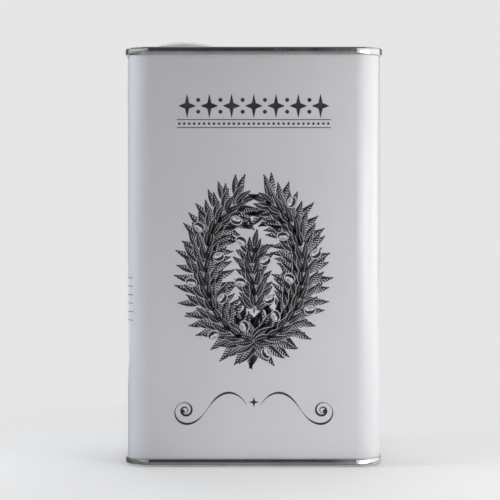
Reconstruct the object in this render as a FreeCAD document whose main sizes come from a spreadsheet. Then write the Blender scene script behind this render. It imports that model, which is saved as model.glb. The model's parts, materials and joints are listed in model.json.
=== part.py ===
import FreeCAD
import Part
import Sketcher
import math
import os

# One-litre rectangular oil tin with a pull-up pouring spout.
# The origin lies under the middle of the base: +X to the right of the front, +Y to the back, +Z up.
# The tin is a welded tinplate body with a double-seamed end at the top and at the bottom.
# The spout slides in a collar that is clipped into the lid's curled neck, and a screw cap closes its mouth.

# Driving dimensions in millimetres, by group. The spreadsheet holds each one under its alias.
SIZES = {
    "tin": {
        "body_width": 108.0,
        "body_depth": 59.0,
        "overall_height": 178.0,
        "corner_radius": 10.5,
        "body_gauge": 0.22,
        "end_gauge": 0.24,
        "weld_width": 1.2,
        "weld_rise": 0.07,
        "weld_setback": 0.8,
    },
    "double seam": {
        "seam_height": 3.4,
        "seam_gap": 0.08,
        "seam_lining": 0.16,
        "seam_bend": 0.62,
        "chuck_bend": 0.08,
        "body_hook": 2.0,
        "cover_hook": 2.0,
        "compound_height": 0.5,
        "compound_gap": 0.03,
    },
    "end panels": {
        "countersink_depth": 5.2,
        "panel_drop": 3.5,
        "groove_width": 1.9,
        "groove_bend": 0.4,
        "panel_margin": 2.2,
        "emboss_rise": 0.7,
        "emboss_bend": 0.35,
        "emboss_corner": 6.0,
        "lid_emboss_gap": 6.9,
        "lid_emboss_margin": 11.0,
        "base_emboss_margin": 12.0,
    },
    "lid neck": {
        "spout_setback": 23.7,
        "neck_radius": 13.2,
        "neck_height": 2.9,
        "neck_bend": 0.6,
        "neck_foot": 1.6,
        "curl_bore": 1.1,
        "curl_lip": 0.45,
    },
    "spout collar": {
        "seal_gap": 0.03,
        "gasket_thickness": 0.4,
        "gasket_width": 1.2,
        "flange_thickness": 1.0,
        "collar_radius": 16.4,
        "collar_edge": 0.45,
        "skirt_wall": 1.3,
        "skirt_gap": 0.4,
        "fit_clearance": 0.1,
        "cup_depth": 4.85,
        "cup_wall": 0.95,
        "cup_floor": 1.1,
        "ridge_reach": 0.4,
        "ridge_height": 0.9,
        "sleeve_bore": 10.5,
        "sleeve_wall": 1.0,
        "sleeve_length": 16.4,
        "sleeve_lip": 1.0,
        "lip_reach": 0.6,
    },
    "pull-up spout": {
        "slide_clearance": 0.15,
        "rest_gap": 0.2,
        "tube_radius": 9.4,
        "tube_wall": 1.8,
        "foot_thickness": 1.2,
        "finish_radius": 8.6,
        "finish_height": 5.4,
        "mouth_edge": 0.35,
        "thread_pitch": 2.5,
        "thread_depth": 0.7,
        "thread_base": 1.2,
        "thread_crest": 0.6,
        "thread_root": 0.3,
        "thread_start": 2.1,
    },
    "screw cap": {
        "thread_clearance": 0.25,
        "cap_gap": 0.3,
        "cap_radius": 11.45,
        "cap_roof": 1.0,
        "cap_edge": 0.3,
        "cap_thread_height": 5.0,
        "liner_radius": 8.9,
        "liner_thickness": 0.8,
        "plateau_radius": 9.9,
        "knurl_reach": 0.35,
        "knurl_width": 0.9,
        "knurl_margin": 0.5,
    },
    "pull ears": {
        "ear_thickness": 1.45,
        "ear_gap": 0.15,
        "ear_radius": 11.8,
        "ear_edge": 0.9,
        "ear_axis": 1.1,
    },
}
# Counts and shares, which no length scales.
SPOUT_THREAD_TURNS = 0.9
CAP_THREAD_TURNS = 1.15
KNURL_COUNT = 40
# How far an edge's ends may lie from a level and still belong to it, in millimetres.
LEVEL_TOLERANCE = 0.0001

# Levels and places as expressions of the spreadsheet's aliases.
# Heights are above the base, and radii are about the spout's axis.
RIM = "Sizes.overall_height"
PANEL_TOP = f"({RIM} - Sizes.panel_drop)"
CURL_TOP = f"({PANEL_TOP} + Sizes.neck_height)"
GASKET_BOTTOM = f"({CURL_TOP} + Sizes.seal_gap)"
GASKET_TOP = f"({GASKET_BOTTOM} + Sizes.gasket_thickness)"
FLANGE_BOTTOM = f"({GASKET_TOP} + Sizes.seal_gap)"
FLANGE_TOP = f"({FLANGE_BOTTOM} + Sizes.flange_thickness)"
CUP_FLOOR_TOP = f"({FLANGE_TOP} - Sizes.cup_depth)"
CUP_FLOOR_BOTTOM = f"({CUP_FLOOR_TOP} - Sizes.cup_floor)"
SLEEVE_BOTTOM = f"({CUP_FLOOR_BOTTOM} - Sizes.sleeve_length)"
LIP_TOP = f"({SLEEVE_BOTTOM} + Sizes.sleeve_lip)"
FOOT_BOTTOM = f"({LIP_TOP} + Sizes.rest_gap)"
FOOT_TOP = f"({FOOT_BOTTOM} + Sizes.foot_thickness)"
SHOULDER = f"({CUP_FLOOR_TOP} + Sizes.rest_gap)"
MOUTH = f"({SHOULDER} + Sizes.finish_height)"
CAP_BOTTOM = f"({CUP_FLOOR_TOP} + Sizes.cap_gap)"
CAP_THREAD_TOP = f"({CAP_BOTTOM} + Sizes.cap_thread_height)"
LINER_BOTTOM = f"({MOUTH} + Sizes.seal_gap)"
LINER_TOP = f"({LINER_BOTTOM} + Sizes.liner_thickness)"
ROOF_BOTTOM = f"({LINER_TOP} + Sizes.seal_gap)"
CAP_TOP = f"({ROOF_BOTTOM} + Sizes.cap_roof)"
EAR_BOTTOM = f"({CAP_TOP} - Sizes.ear_thickness)"
REBATE_FLOOR = f"({EAR_BOTTOM} - Sizes.ear_gap)"
EAR_AXIS_LEVEL = f"({CAP_TOP} - Sizes.ear_thickness / 2)"

SPOUT_X = "(Sizes.spout_setback - Sizes.body_width / 2)"
NECK_OUTER = "(Sizes.neck_radius + Sizes.end_gauge)"
NECK_FOOT = f"({NECK_OUTER} + Sizes.neck_foot)"
CURL_INNER = f"({NECK_OUTER} + Sizes.curl_bore)"
CUP_OUTER = "(Sizes.neck_radius - Sizes.fit_clearance)"
CUP_INNER = f"({CUP_OUTER} - Sizes.cup_wall)"
SKIRT_INNER = "(Sizes.collar_radius - Sizes.skirt_wall)"
SLEEVE_OUTER = "(Sizes.sleeve_bore + Sizes.sleeve_wall)"
LIP_RADIUS = "(Sizes.sleeve_bore - Sizes.lip_reach)"
GUIDE_RADIUS = "(Sizes.tube_radius + Sizes.slide_clearance)"
TUBE_BORE = "(Sizes.tube_radius - Sizes.tube_wall)"
FOOT_RADIUS = "(Sizes.sleeve_bore - Sizes.slide_clearance)"
THREAD_CREST = "(Sizes.finish_radius + Sizes.thread_depth)"
CAP_BORE = f"({THREAD_CREST} + Sizes.thread_clearance)"
CAP_CREST = "(Sizes.finish_radius + Sizes.thread_clearance)"
LINER_SEAT = "(Sizes.liner_radius + Sizes.fit_clearance)"
EAR_INNER = "(Sizes.plateau_radius + Sizes.ear_gap)"

# Plan of the seam: distances out of the body's outer face, layer by layer.
WALL_FACE = "Sizes.body_depth / 2"
CHUCK_INNER = "(-Sizes.body_gauge - Sizes.seam_gap - Sizes.end_gauge)"
COVER_HOOK_INNER = "Sizes.seam_gap"
BODY_HOOK_INNER = "(2 * Sizes.seam_gap + Sizes.end_gauge)"
SEAM_OUTER = "(3 * Sizes.seam_gap + 2 * Sizes.end_gauge + Sizes.body_gauge)"
GROOVE_INNER = f"({CHUCK_INNER} - Sizes.groove_width)"
PANEL_EDGE = f"({GROOVE_INNER} - Sizes.panel_margin)"
BODY_TURN_DROP = "(Sizes.end_gauge + Sizes.seam_lining + Sizes.body_gauge)"
BODY_HOOK_DROP = "(Sizes.end_gauge + Sizes.seam_lining + Sizes.body_hook)"
COVER_HOOK_DROP = "(Sizes.seam_height - Sizes.cover_hook)"

doc = FreeCAD.newDocument("oil_tin")


def make_sheet():
    """The spreadsheet: alias in column A, plain number in column B."""
    sheet = doc.addObject("Spreadsheet::Sheet", "Sizes")
    row = 0
    for group in SIZES.values():
        for alias, value in group.items():
            row += 1
            sheet.set(f"A{row}", alias)
            sheet.set(f"B{row}", str(value))
            sheet.setAlias(f"B{row}", alias)
    doc.recompute()
    return sheet


SHEET = make_sheet()


def value_of(expression):
    """The number that an expression of the aliases comes to."""
    return float(SHEET.evalExpression(expression))


def new_body(label):
    body = doc.addObject("PartDesign::Body", label)
    body.Label = label
    return body


def put_at_spout(piece):
    """Moves a piece that is drawn about its own axis to the spout's place on the lid."""
    piece.setExpression("Placement.Base.x", SPOUT_X)
    return piece


def attach(sketch, body, role, level=None, across=None):
    """Lays a sketch on one of its body's origin planes, raised to a level and shifted along its own X."""
    plane = next(f for f in body.Origin.OriginFeatures if f.Role == role)
    sketch.AttachmentSupport = (plane, "")
    sketch.MapMode = "FlatFace"
    if level:
        sketch.setExpression("AttachmentOffset.Base.z", level)
    if across:
        sketch.setExpression("AttachmentOffset.Base.x", across)


def bind(sketch, constraint, expression):
    """Adds a constraint whose size follows an expression."""
    index = sketch.addConstraint(constraint)
    sketch.setExpression(f"Constraints[{index}]", expression)


def place_leg(sketch, geometry, kind, expression):
    """Fixes a level leg's height or an upright leg's distance out."""
    axis, name = (-1, "DistanceY") if kind == "H" else (-2, "DistanceX")
    if expression == "0":
        sketch.addConstraint(Sketcher.Constraint("PointOnObject", geometry, 1, axis))
    else:
        bind(sketch, Sketcher.Constraint(name, -1, 1, geometry, 1, value_of(expression)), expression)


def turn_centre(bend, here, there, rising):
    """Level of the middle of a half-circle between two upright legs, from its highest or lowest point."""
    sign = "-" if rising else "+"
    return f"({bend[1]} {sign} abs({here} - {there}) / 2)"


def loop_sketch(body, name, role, legs, level=None, across=None):
    """A closed outline of level (H) and upright (V) legs, every size bound to the sheet.

    Each leg is (kind, place, bend). The place is a height for H and a distance out for V.
    The bend joins the next leg: None is a sharp corner, an expression is a corner's radius,
    and ("turn", peak) is a half-circle into a parallel leg whose extreme height is peak.
    """
    sketch = body.newObject("Sketcher::SketchObject", name)
    attach(sketch, body, role, level, across)
    count = len(legs)
    places = [value_of(place) for _, place, _ in legs]
    starts, ends, centres = [None] * count, [None] * count, {}
    for i, (kind, place, bend) in enumerate(legs):
        after = (i + 1) % count
        if isinstance(bend, tuple):
            before = legs[i - 1][2][1] if isinstance(legs[i - 1][2], tuple) else legs[i - 1][1]
            rising = value_of(bend[1]) > value_of(before)
            centres[i] = turn_centre(bend, place, legs[after][1], rising)
            height = value_of(centres[i])
            ends[i], starts[after] = (places[i], height), (places[after], height)
        else:
            corner = (places[after], places[i]) if kind == "H" else (places[i], places[after])
            ends[i] = starts[after] = corner
    headings = [
        (math.copysign(1, e[0] - s[0]), 0) if leg[0] == "H" else (0, math.copysign(1, e[1] - s[1]))
        for leg, s, e in zip(legs, starts, ends)
    ]
    radii = [value_of(leg[2]) if isinstance(leg[2], str) else 0 for leg in legs]
    lines = []
    for i, leg in enumerate(legs):
        (hx, hy), back, ahead = headings[i], radii[i - 1], radii[i]
        first = FreeCAD.Vector(starts[i][0] + hx * back, starts[i][1] + hy * back, 0)
        last = FreeCAD.Vector(ends[i][0] - hx * ahead, ends[i][1] - hy * ahead, 0)
        lines.append(sketch.addGeometry(Part.LineSegment(first, last), False))
        sketch.addConstraint(Sketcher.Constraint("Horizontal" if leg[0] == "H" else "Vertical", lines[i]))
    for i, (kind, place, bend) in enumerate(legs):
        after = (i + 1) % count
        if bend is None:
            sketch.addConstraint(Sketcher.Constraint("Coincident", lines[i], 2, lines[after], 1))
            continue
        (hx, hy), (nx, ny) = headings[i], headings[after]
        if isinstance(bend, tuple):
            radius = abs(places[after] - places[i]) / 2
            middle = FreeCAD.Vector((places[i] + places[after]) / 2, value_of(centres[i]), 0)
            left = (places[after] < places[i]) == (hy > 0)
        else:
            radius = radii[i]
            middle = FreeCAD.Vector(ends[i][0] + radius * (nx - hx), ends[i][1] + radius * (ny - hy), 0)
            left = hx * ny - hy * nx > 0
        entry = sketch.Geometry[lines[i]].EndPoint
        leave = sketch.Geometry[lines[after]].StartPoint
        begin, finish = (entry, leave) if left else (leave, entry)
        angles = [math.atan2(p.y - middle.y, p.x - middle.x) for p in (begin, finish)]
        circle = Part.Circle(middle, FreeCAD.Vector(0, 0, 1), radius)
        arc = sketch.addGeometry(Part.ArcOfCircle(circle, angles[0], angles[1]), False)
        near, far = (1, 2) if left else (2, 1)
        sketch.addConstraint(Sketcher.Constraint("Tangent", lines[i], 2, arc, near))
        sketch.addConstraint(Sketcher.Constraint("Tangent", arc, far, lines[after], 1))
        if isinstance(bend, tuple):
            bind(sketch, Sketcher.Constraint("DistanceY", -1, 1, arc, 3, middle.y), centres[i])
        else:
            bind(sketch, Sketcher.Constraint("Radius", arc, radius), bend)
    for i, (kind, place, _) in enumerate(legs):
        place_leg(sketch, lines[i], kind, place)
    return sketch


def sheet_legs(path, gauge, start, end, side):
    """The closed outline of bent sheet metal from the legs of its one face.

    The metal lies on the left (side 1) or right (side -1) of the path. Bends are inside radii.
    """
    count = len(path)
    places = [value_of(place) for _, place, _ in path]
    heads = []
    for i, (kind, _, bend) in enumerate(path):
        before, after = path[i - 1] if i else None, path[i + 1] if i + 1 < count else None
        if after is not None and after[0] != kind:
            to = places[i + 1]
        elif after is not None:
            to = value_of(bend[1])
        else:
            to = value_of(end)
        if before is not None and before[0] != kind:
            came = places[i - 1]
        elif before is not None:
            came = value_of(before[2][1])
        else:
            came = value_of(start)
        heads.append(math.copysign(1, to - came))
    near, far = [], []
    for i, (kind, place, bend) in enumerate(path):
        shift = side * heads[i] * (1 if kind == "H" else -1)
        other = f"({place} {'+' if shift > 0 else '-'} {gauge})"
        near_bend = far_bend = None
        if isinstance(bend, tuple):
            right = (places[i + 1] > places[i]) == (heads[i] > 0)
            outer_far = right == (side > 0)
            grow = "+" if outer_far == (heads[i] > 0) else "-"
            near_bend, far_bend = bend, ("turn", f"({bend[1]} {grow} {gauge})")
        elif bend:
            flat = heads[i] * heads[i + 1] * (1 if kind == "H" else -1)
            inner_near = (flat > 0) != (side > 0)
            thick = f"({bend} + {gauge})"
            near_bend, far_bend = (bend, thick) if inner_near else (thick, bend)
        near.append((kind, place, near_bend))
        far.append((kind, other, far_bend))
    crossing = {"H": "V", "V": "H"}
    back = [(far[i][0], far[i][1], far[i - 1][2] if i else None) for i in reversed(range(count))]
    return near + [(crossing[path[-1][0]], end, None)] + back + [(crossing[path[0][0]], start, None)]


def rectangle_legs(width, depth, radius):
    """A rounded rectangle about the origin."""
    half_width, half_depth = f"({width} / 2)", f"({depth} / 2)"
    return [
        ("H", f"(-{half_depth})", radius),
        ("V", half_width, radius),
        ("H", half_depth, radius),
        ("V", f"(-{half_width})", radius),
    ]


def plan_legs(out):
    """The tin's plan, moved out of the body's outer face by an expression."""
    return rectangle_legs(
        f"(Sizes.body_width + 2 * {out})",
        f"(Sizes.body_depth + 2 * {out})",
        f"(Sizes.corner_radius + {out})",
    )


def section_at_wall(out):
    """Distance from the tin's middle plane of a place in the seam's section."""
    return f"({WALL_FACE} + {out})"


def sweep_round(body, legs):
    """Carries a section round the tin's plan."""
    path = loop_sketch(body, f"{body.Label}_plan", "XY_Plane", plan_legs("0"))
    section = loop_sketch(body, f"{body.Label}_section", "YZ_Plane", legs)
    doc.recompute()
    pipe = body.newObject("PartDesign::AdditivePipe", f"{body.Label}_sweep")
    pipe.Profile = section
    pipe.Spine = (path, [f"Edge{i + 1}" for i in range(len(path.Shape.Edges))])
    doc.recompute()
    return pipe


def revolve(body, legs):
    """Turns a section about the body's own Z axis."""
    section = loop_sketch(body, f"{body.Label}_section", "XZ_Plane", legs)
    turned = body.newObject("PartDesign::Revolution", f"{body.Label}_turned")
    turned.Profile = section
    turned.ReferenceAxis = (section, ["V_Axis"])
    doc.recompute()
    return turned


def pad(body, name, sketch, length, reverse=False):
    made = body.newObject("PartDesign::Pad", name)
    made.Profile = sketch
    made.Reversed = reverse
    made.setExpression("Length", length)
    doc.recompute()
    return made


def pocket(body, name, sketch, length, reverse=False):
    before = body.Shape.Volume
    made = body.newObject("PartDesign::Pocket", name)
    made.Profile = sketch
    made.Reversed = reverse
    made.setExpression("Length", length)
    doc.recompute()
    if not body.Shape.Volume < before:
        raise RuntimeError(f"{name} cuts nothing")
    return made


def fillet_at_level(body, name, level, radius):
    """Rounds every edge of the body that lies at a level."""
    height = value_of(level)
    edges = []
    for index, edge in enumerate(body.Shape.Edges):
        if all(abs(vertex.Z - height) < LEVEL_TOLERANCE for vertex in edge.Vertexes):
            edges.append(f"Edge{index + 1}")
    rounded = body.Tip
    made = body.newObject("PartDesign::Fillet", name)
    made.Base = (rounded, edges)
    made.setExpression("Radius", radius)
    doc.recompute()
    return made


def thread(body, root, crest, start, turns):
    """A right-hand thread ridge from a root radius to a crest radius, both about the body's Z axis."""
    reach = 1 if value_of(crest) > value_of(root) else -1
    base, tip = "Sizes.thread_base / 2", "Sizes.thread_crest / 2"
    sunk = f"({root} {'-' if reach > 0 else '+'} Sizes.thread_root)"
    corners = [
        (sunk, f"({start} - {base})"),
        (root, f"({start} - {base})"),
        (crest, f"({start} - {tip})"),
        (crest, f"({start} + {tip})"),
        (root, f"({start} + {base})"),
        (sunk, f"({start} + {base})"),
    ]
    section = body.newObject("Sketcher::SketchObject", f"{body.Label}_thread_section")
    attach(section, body, "XZ_Plane")
    points = [FreeCAD.Vector(value_of(x), value_of(z), 0) for x, z in corners]
    for i, point in enumerate(points):
        section.addGeometry(Part.LineSegment(point, points[(i + 1) % len(points)]), False)
    for i, (x, z) in enumerate(corners):
        section.addConstraint(Sketcher.Constraint("Coincident", i - 1 if i else len(corners) - 1, 2, i, 1))
        bind(section, Sketcher.Constraint("DistanceX", -1, 1, i, 1, points[i].x), x)
        bind(section, Sketcher.Constraint("DistanceY", -1, 1, i, 1, points[i].y), z)
    ridge = body.newObject("PartDesign::AdditiveHelix", f"{body.Label}_thread")
    ridge.Profile = section
    ridge.ReferenceAxis = (section, ["V_Axis"])
    ridge.Mode = "pitch-turns-angle"
    ridge.setExpression("Pitch", "Sizes.thread_pitch")
    ridge.Turns = turns
    ridge.LeftHanded = False
    doc.recompute()
    return ridge


# Tin body: the wall with a hook at each edge, and the raised line of its weld on the right-hand side.
def make_body_wall():
    body = new_body("body_wall")
    hook = section_at_wall(BODY_HOOK_INNER)
    path = [
        ("V", hook, ("turn", BODY_TURN_DROP)),
        ("V", WALL_FACE, ("turn", f"({RIM} - {BODY_TURN_DROP})")),
        ("V", hook, None),
    ]
    legs = sheet_legs(path, "Sizes.body_gauge", BODY_HOOK_DROP, f"({RIM} - {BODY_HOOK_DROP})", 1)
    sweep_round(body, legs)
    outer_face = "(Sizes.body_width / 2)"
    weld_end = "(Sizes.seam_height + Sizes.weld_setback)"
    line = [
        ("H", "(-Sizes.weld_width / 2)", None),
        ("V", f"({outer_face} + Sizes.weld_rise)", None),
        ("H", "(Sizes.weld_width / 2)", None),
        ("V", f"({outer_face} - Sizes.body_gauge / 2)", None),
    ]
    weld = loop_sketch(body, "weld_line", "XY_Plane", line, weld_end)
    pad(body, "weld", weld, f"{RIM} - 2 * {weld_end}")
    return body


# Seamed ends: the cover hook, the seam's outside, the countersink and the panel.
def end_level(drop, top):
    return f"({RIM} - {drop})" if top else f"({drop})"


def make_end(label, top):
    """An end without its panel's own features. The lower end is the upper one turned over."""
    body = new_body(label)
    path = [
        ("H", end_level("Sizes.panel_drop", top), "Sizes.groove_bend"),
        ("V", section_at_wall(GROOVE_INNER), "Sizes.groove_bend"),
        ("H", end_level("Sizes.countersink_depth", top), "Sizes.groove_bend"),
        ("V", section_at_wall(CHUCK_INNER), "Sizes.chuck_bend"),
        ("H", end_level("0", top) if top else "0", "Sizes.seam_bend"),
        ("V", section_at_wall(SEAM_OUTER), ("turn", end_level("Sizes.seam_height", top))),
        ("V", section_at_wall(COVER_HOOK_INNER), None),
    ]
    start = section_at_wall(PANEL_EDGE)
    end = end_level(COVER_HOOK_DROP, top)
    sweep_round(body, sheet_legs(path, "Sizes.end_gauge", start, end, -1 if top else 1))
    plate = loop_sketch(body, f"{label}_panel", "XY_Plane", plan_legs(PANEL_EDGE), path[0][1])
    pad(body, f"{label}_plate", plate, "Sizes.end_gauge", reverse=top)
    return body


def emboss(body, legs_at, face):
    """Presses a field of the panel upwards: a pad on its upper face, hollowed from below."""
    raised = loop_sketch(body, f"{body.Label}_field", "XY_Plane", legs_at("0"), face)
    pad(body, f"{body.Label}_raised", raised, "Sizes.emboss_rise")
    fillet_at_level(body, f"{body.Label}_crown", f"({face} + Sizes.emboss_rise)", "Sizes.emboss_bend")
    under = f"({face} - Sizes.end_gauge)"
    hollow = loop_sketch(body, f"{body.Label}_below", "XY_Plane", legs_at("Sizes.end_gauge"), under)
    pocket(body, f"{body.Label}_hollow", hollow, "Sizes.emboss_rise", reverse=True)


def lid_field(inset):
    left = f"({SPOUT_X} + Sizes.collar_radius + Sizes.lid_emboss_gap + {inset})"
    right = f"(Sizes.body_width / 2 - Sizes.lid_emboss_margin - {inset})"
    half = f"(Sizes.body_depth / 2 - Sizes.lid_emboss_margin - {inset})"
    corner = f"(Sizes.emboss_corner - {inset})"
    return [("H", f"(-{half})", corner), ("V", right, corner), ("H", half, corner), ("V", left, corner)]


def base_field(inset):
    margin = f"(Sizes.base_emboss_margin + {inset})"
    return rectangle_legs(
        f"(Sizes.body_width - 2 * {margin})",
        f"(Sizes.body_depth - 2 * {margin})",
        f"(Sizes.emboss_corner - {inset})",
    )


def make_top_end():
    body = make_end("top_end", True)
    emboss(body, lid_field, PANEL_TOP)
    hole = body.newObject("Sketcher::SketchObject", "neck_hole_outline")
    attach(hole, body, "XY_Plane", PANEL_TOP, SPOUT_X)
    circle = Part.Circle(FreeCAD.Vector(0, 0, 0), FreeCAD.Vector(0, 0, 1), value_of(NECK_FOOT))
    hole.addGeometry(circle, False)
    hole.addConstraint(Sketcher.Constraint("Coincident", 0, 3, -1, 1))
    bind(hole, Sketcher.Constraint("Radius", 0, value_of(NECK_FOOT)), NECK_FOOT)
    pocket(body, "neck_hole", hole, "Sizes.end_gauge")
    path = [
        ("H", PANEL_TOP, "Sizes.neck_bend"),
        ("V", NECK_OUTER, ("turn", f"({CURL_TOP} - Sizes.end_gauge)")),
        ("V", CURL_INNER, None),
    ]
    curl_end = f"({CURL_TOP} - Sizes.end_gauge - Sizes.curl_bore / 2 - Sizes.curl_lip)"
    legs = sheet_legs(path, "Sizes.end_gauge", NECK_FOOT, curl_end, 1)
    section = loop_sketch(body, "neck_section", "XZ_Plane", legs, across=SPOUT_X)
    neck = body.newObject("PartDesign::Revolution", "neck")
    neck.Profile = section
    neck.ReferenceAxis = (section, ["V_Axis"])
    doc.recompute()
    return body


def make_bottom_end():
    body = make_end("bottom_end", False)
    emboss(body, base_field, "(Sizes.panel_drop + Sizes.end_gauge)")
    return body


# Sealing compound: a cord of lining between the cover hook's edge and the body hook's bend.
def make_compound(label, top):
    body = new_body(label)
    bottom = f"({COVER_HOOK_DROP} - Sizes.compound_gap)"
    ceiling = f"({bottom} - Sizes.compound_height)"
    inner = section_at_wall("(Sizes.seam_gap + Sizes.compound_gap)")
    outer = section_at_wall("(Sizes.seam_gap + Sizes.end_gauge - Sizes.compound_gap)")
    legs = [
        ("H", end_level(bottom, top), None),
        ("V", outer, None),
        ("H", end_level(ceiling, top), None),
        ("V", inner, None),
    ]
    sweep_round(body, legs)
    return body


# Spout collar: a flange and skirt over the curled neck, a cup for the cap and a sleeve that guides the spout.
def make_collar():
    body = put_at_spout(new_body("spout_collar"))
    ridge_bottom = CUP_FLOOR_BOTTOM
    ridge_top = f"({CUP_FLOOR_BOTTOM} + Sizes.ridge_height)"
    legs = [
        ("V", CUP_INNER, "Sizes.cap_edge"),
        ("H", FLANGE_TOP, "Sizes.collar_edge"),
        ("V", "Sizes.collar_radius", None),
        ("H", f"({PANEL_TOP} + Sizes.skirt_gap)", None),
        ("V", SKIRT_INNER, None),
        ("H", FLANGE_BOTTOM, None),
        ("V", CUP_OUTER, None),
        ("H", ridge_top, None),
        ("V", f"({CUP_OUTER} + Sizes.ridge_reach)", None),
        ("H", ridge_bottom, None),
        ("V", SLEEVE_OUTER, None),
        ("H", SLEEVE_BOTTOM, None),
        ("V", LIP_RADIUS, None),
        ("H", LIP_TOP, None),
        ("V", "Sizes.sleeve_bore", None),
        ("H", CUP_FLOOR_BOTTOM, None),
        ("V", GUIDE_RADIUS, None),
        ("H", CUP_FLOOR_TOP, None),
    ]
    revolve(body, legs)
    return body


def make_gasket():
    body = put_at_spout(new_body("collar_gasket"))
    inner = "(Sizes.neck_radius + Sizes.fit_clearance)"
    legs = [
        ("H", GASKET_BOTTOM, None),
        ("V", f"({inner} + Sizes.gasket_width)", None),
        ("H", GASKET_TOP, None),
        ("V", inner, None),
    ]
    revolve(body, legs)
    return body


# Pull-up spout: a tube with a stop flange at its foot and a threaded mouth.
def make_spout():
    body = put_at_spout(new_body("pull_spout"))
    legs = [
        ("V", TUBE_BORE, "Sizes.mouth_edge"),
        ("H", MOUTH, "Sizes.mouth_edge"),
        ("V", "Sizes.finish_radius", None),
        ("H", SHOULDER, None),
        ("V", "Sizes.tube_radius", None),
        ("H", FOOT_TOP, None),
        ("V", FOOT_RADIUS, None),
        ("H", FOOT_BOTTOM, None),
    ]
    revolve(body, legs)
    start = f"({SHOULDER} + Sizes.thread_start)"
    thread(body, "Sizes.finish_radius", THREAD_CREST, start, SPOUT_THREAD_TURNS)
    return body


# Screw cap: a roof with a rebate for the ears, a knurled skirt and a thread half a pitch from the spout's.
def make_cap():
    body = put_at_spout(new_body("screw_cap"))
    legs = [
        ("V", "0", None),
        ("H", CAP_TOP, "Sizes.cap_edge"),
        ("V", "Sizes.plateau_radius", None),
        ("H", REBATE_FLOOR, "Sizes.cap_edge"),
        ("V", "Sizes.cap_radius", None),
        ("H", CAP_BOTTOM, None),
        ("V", CAP_BORE, None),
        ("H", CAP_THREAD_TOP, None),
        ("V", LINER_SEAT, None),
        ("H", ROOF_BOTTOM, None),
    ]
    revolve(body, legs)
    start = f"({SHOULDER} + Sizes.thread_start - Sizes.thread_pitch / 2)"
    thread(body, CAP_BORE, CAP_CREST, start, CAP_THREAD_TURNS)
    ridge = [
        ("H", "(-Sizes.knurl_width / 2)", None),
        ("V", "(Sizes.cap_radius + Sizes.knurl_reach)", None),
        ("H", "(Sizes.knurl_width / 2)", None),
        ("V", "(Sizes.cap_radius - Sizes.knurl_reach)", None),
    ]
    foot = f"({CAP_BOTTOM} + Sizes.knurl_margin)"
    outline = loop_sketch(body, "knurl_outline", "XY_Plane", ridge, foot)
    first = pad(body, "knurl", outline, f"{REBATE_FLOOR} - Sizes.knurl_margin - {foot}")
    pattern = body.newObject("PartDesign::PolarPattern", "knurls")
    pattern.Originals = [first]
    pattern.Axis = (outline, ["N_Axis"])
    pattern.Occurrences = KNURL_COUNT
    body.Tip = pattern
    doc.recompute()
    return body


def make_liner():
    body = put_at_spout(new_body("cap_liner"))
    legs = [
        ("V", "0", None),
        ("H", LINER_TOP, None),
        ("V", "Sizes.liner_radius", None),
        ("H", LINER_BOTTOM, None),
    ]
    revolve(body, legs)
    return body


# Pull ears: half rings in the cap's rebate, each with round knuckles on its own hinge line.
def primitive(kind, name, sizes):
    """A Part primitive with its sizes and its place bound to the sheet."""
    made = doc.addObject(kind, name)
    for prop, expression in sizes.items():
        made.setExpression(prop, expression)
    return made


def make_ear(label, back):
    """The half ring behind the spout's middle, or the one before it."""
    ring_body = new_body(f"{label}_ring")
    legs = [
        ("H", EAR_BOTTOM, None),
        ("V", "Sizes.ear_radius", "Sizes.ear_edge"),
        ("H", CAP_TOP, "Sizes.cap_edge"),
        ("V", EAR_INNER, None),
    ]
    revolve(ring_body, legs)
    hinge_y = "Sizes.ear_axis" if back else "-Sizes.ear_axis"
    slab = primitive("Part::Box", f"{label}_half", {
        "Length": "2 * Sizes.ear_radius",
        "Width": "Sizes.ear_radius",
        "Height": "Sizes.ear_thickness",
        "Placement.Base.x": "-Sizes.ear_radius",
        "Placement.Base.y": hinge_y if back else f"{hinge_y} - Sizes.ear_radius",
        "Placement.Base.z": EAR_BOTTOM,
    })
    knuckle = primitive("Part::Cylinder", f"{label}_knuckles", {
        "Radius": "Sizes.ear_thickness / 2",
        "Height": "2 * Sizes.ear_radius",
    })
    knuckle.Placement.Rotation = FreeCAD.Rotation(FreeCAD.Vector(0, 1, 0), 90)
    knuckle.setExpression("Placement.Base.x", "-Sizes.ear_radius")
    knuckle.setExpression("Placement.Base.y", hinge_y)
    knuckle.setExpression("Placement.Base.z", EAR_AXIS_LEVEL)
    reach = doc.addObject("Part::Fuse", f"{label}_reach")
    reach.Base, reach.Tool = slab, knuckle
    ear = doc.addObject("Part::Common", label)
    ear.Base, ear.Tool = ring_body, reach
    ear.Label = label
    doc.recompute()
    return put_at_spout(ear)


def check(pieces):
    """Stops the build if any object failed or any piece isn't one sound solid."""
    for item in doc.Objects:
        if "Invalid" in item.State or "Error" in item.State:
            raise RuntimeError(f"{item.Label} failed: {item.State}")
    for piece in pieces:
        shape = piece.Shape
        if shape.isNull() or not shape.isValid() or len(shape.Solids) != 1:
            raise RuntimeError(f"{piece.Label} isn't one valid solid")


def main():
    pieces = [
        make_body_wall(),
        make_top_end(),
        make_bottom_end(),
        make_compound("top_seam_compound", True),
        make_compound("bottom_seam_compound", False),
        make_collar(),
        make_gasket(),
        make_spout(),
        make_cap(),
        make_liner(),
        make_ear("front_pull_ear", False),
        make_ear("back_pull_ear", True),
    ]
    doc.recompute()
    check(pieces)
    os.makedirs("parts", exist_ok=True)
    for piece in pieces:
        piece.Shape.exportStep(f"parts/{piece.Label}.step")
        box = piece.Shape.BoundBox
        print(f"{piece.Label}: {box.XLength:.2f} x {box.YLength:.2f} x {box.ZLength:.2f} mm,"
              f" z {box.ZMin:.2f} to {box.ZMax:.2f}, {piece.Shape.Volume:.1f} mm3")


main()
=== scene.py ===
import json
import math
import random

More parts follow.
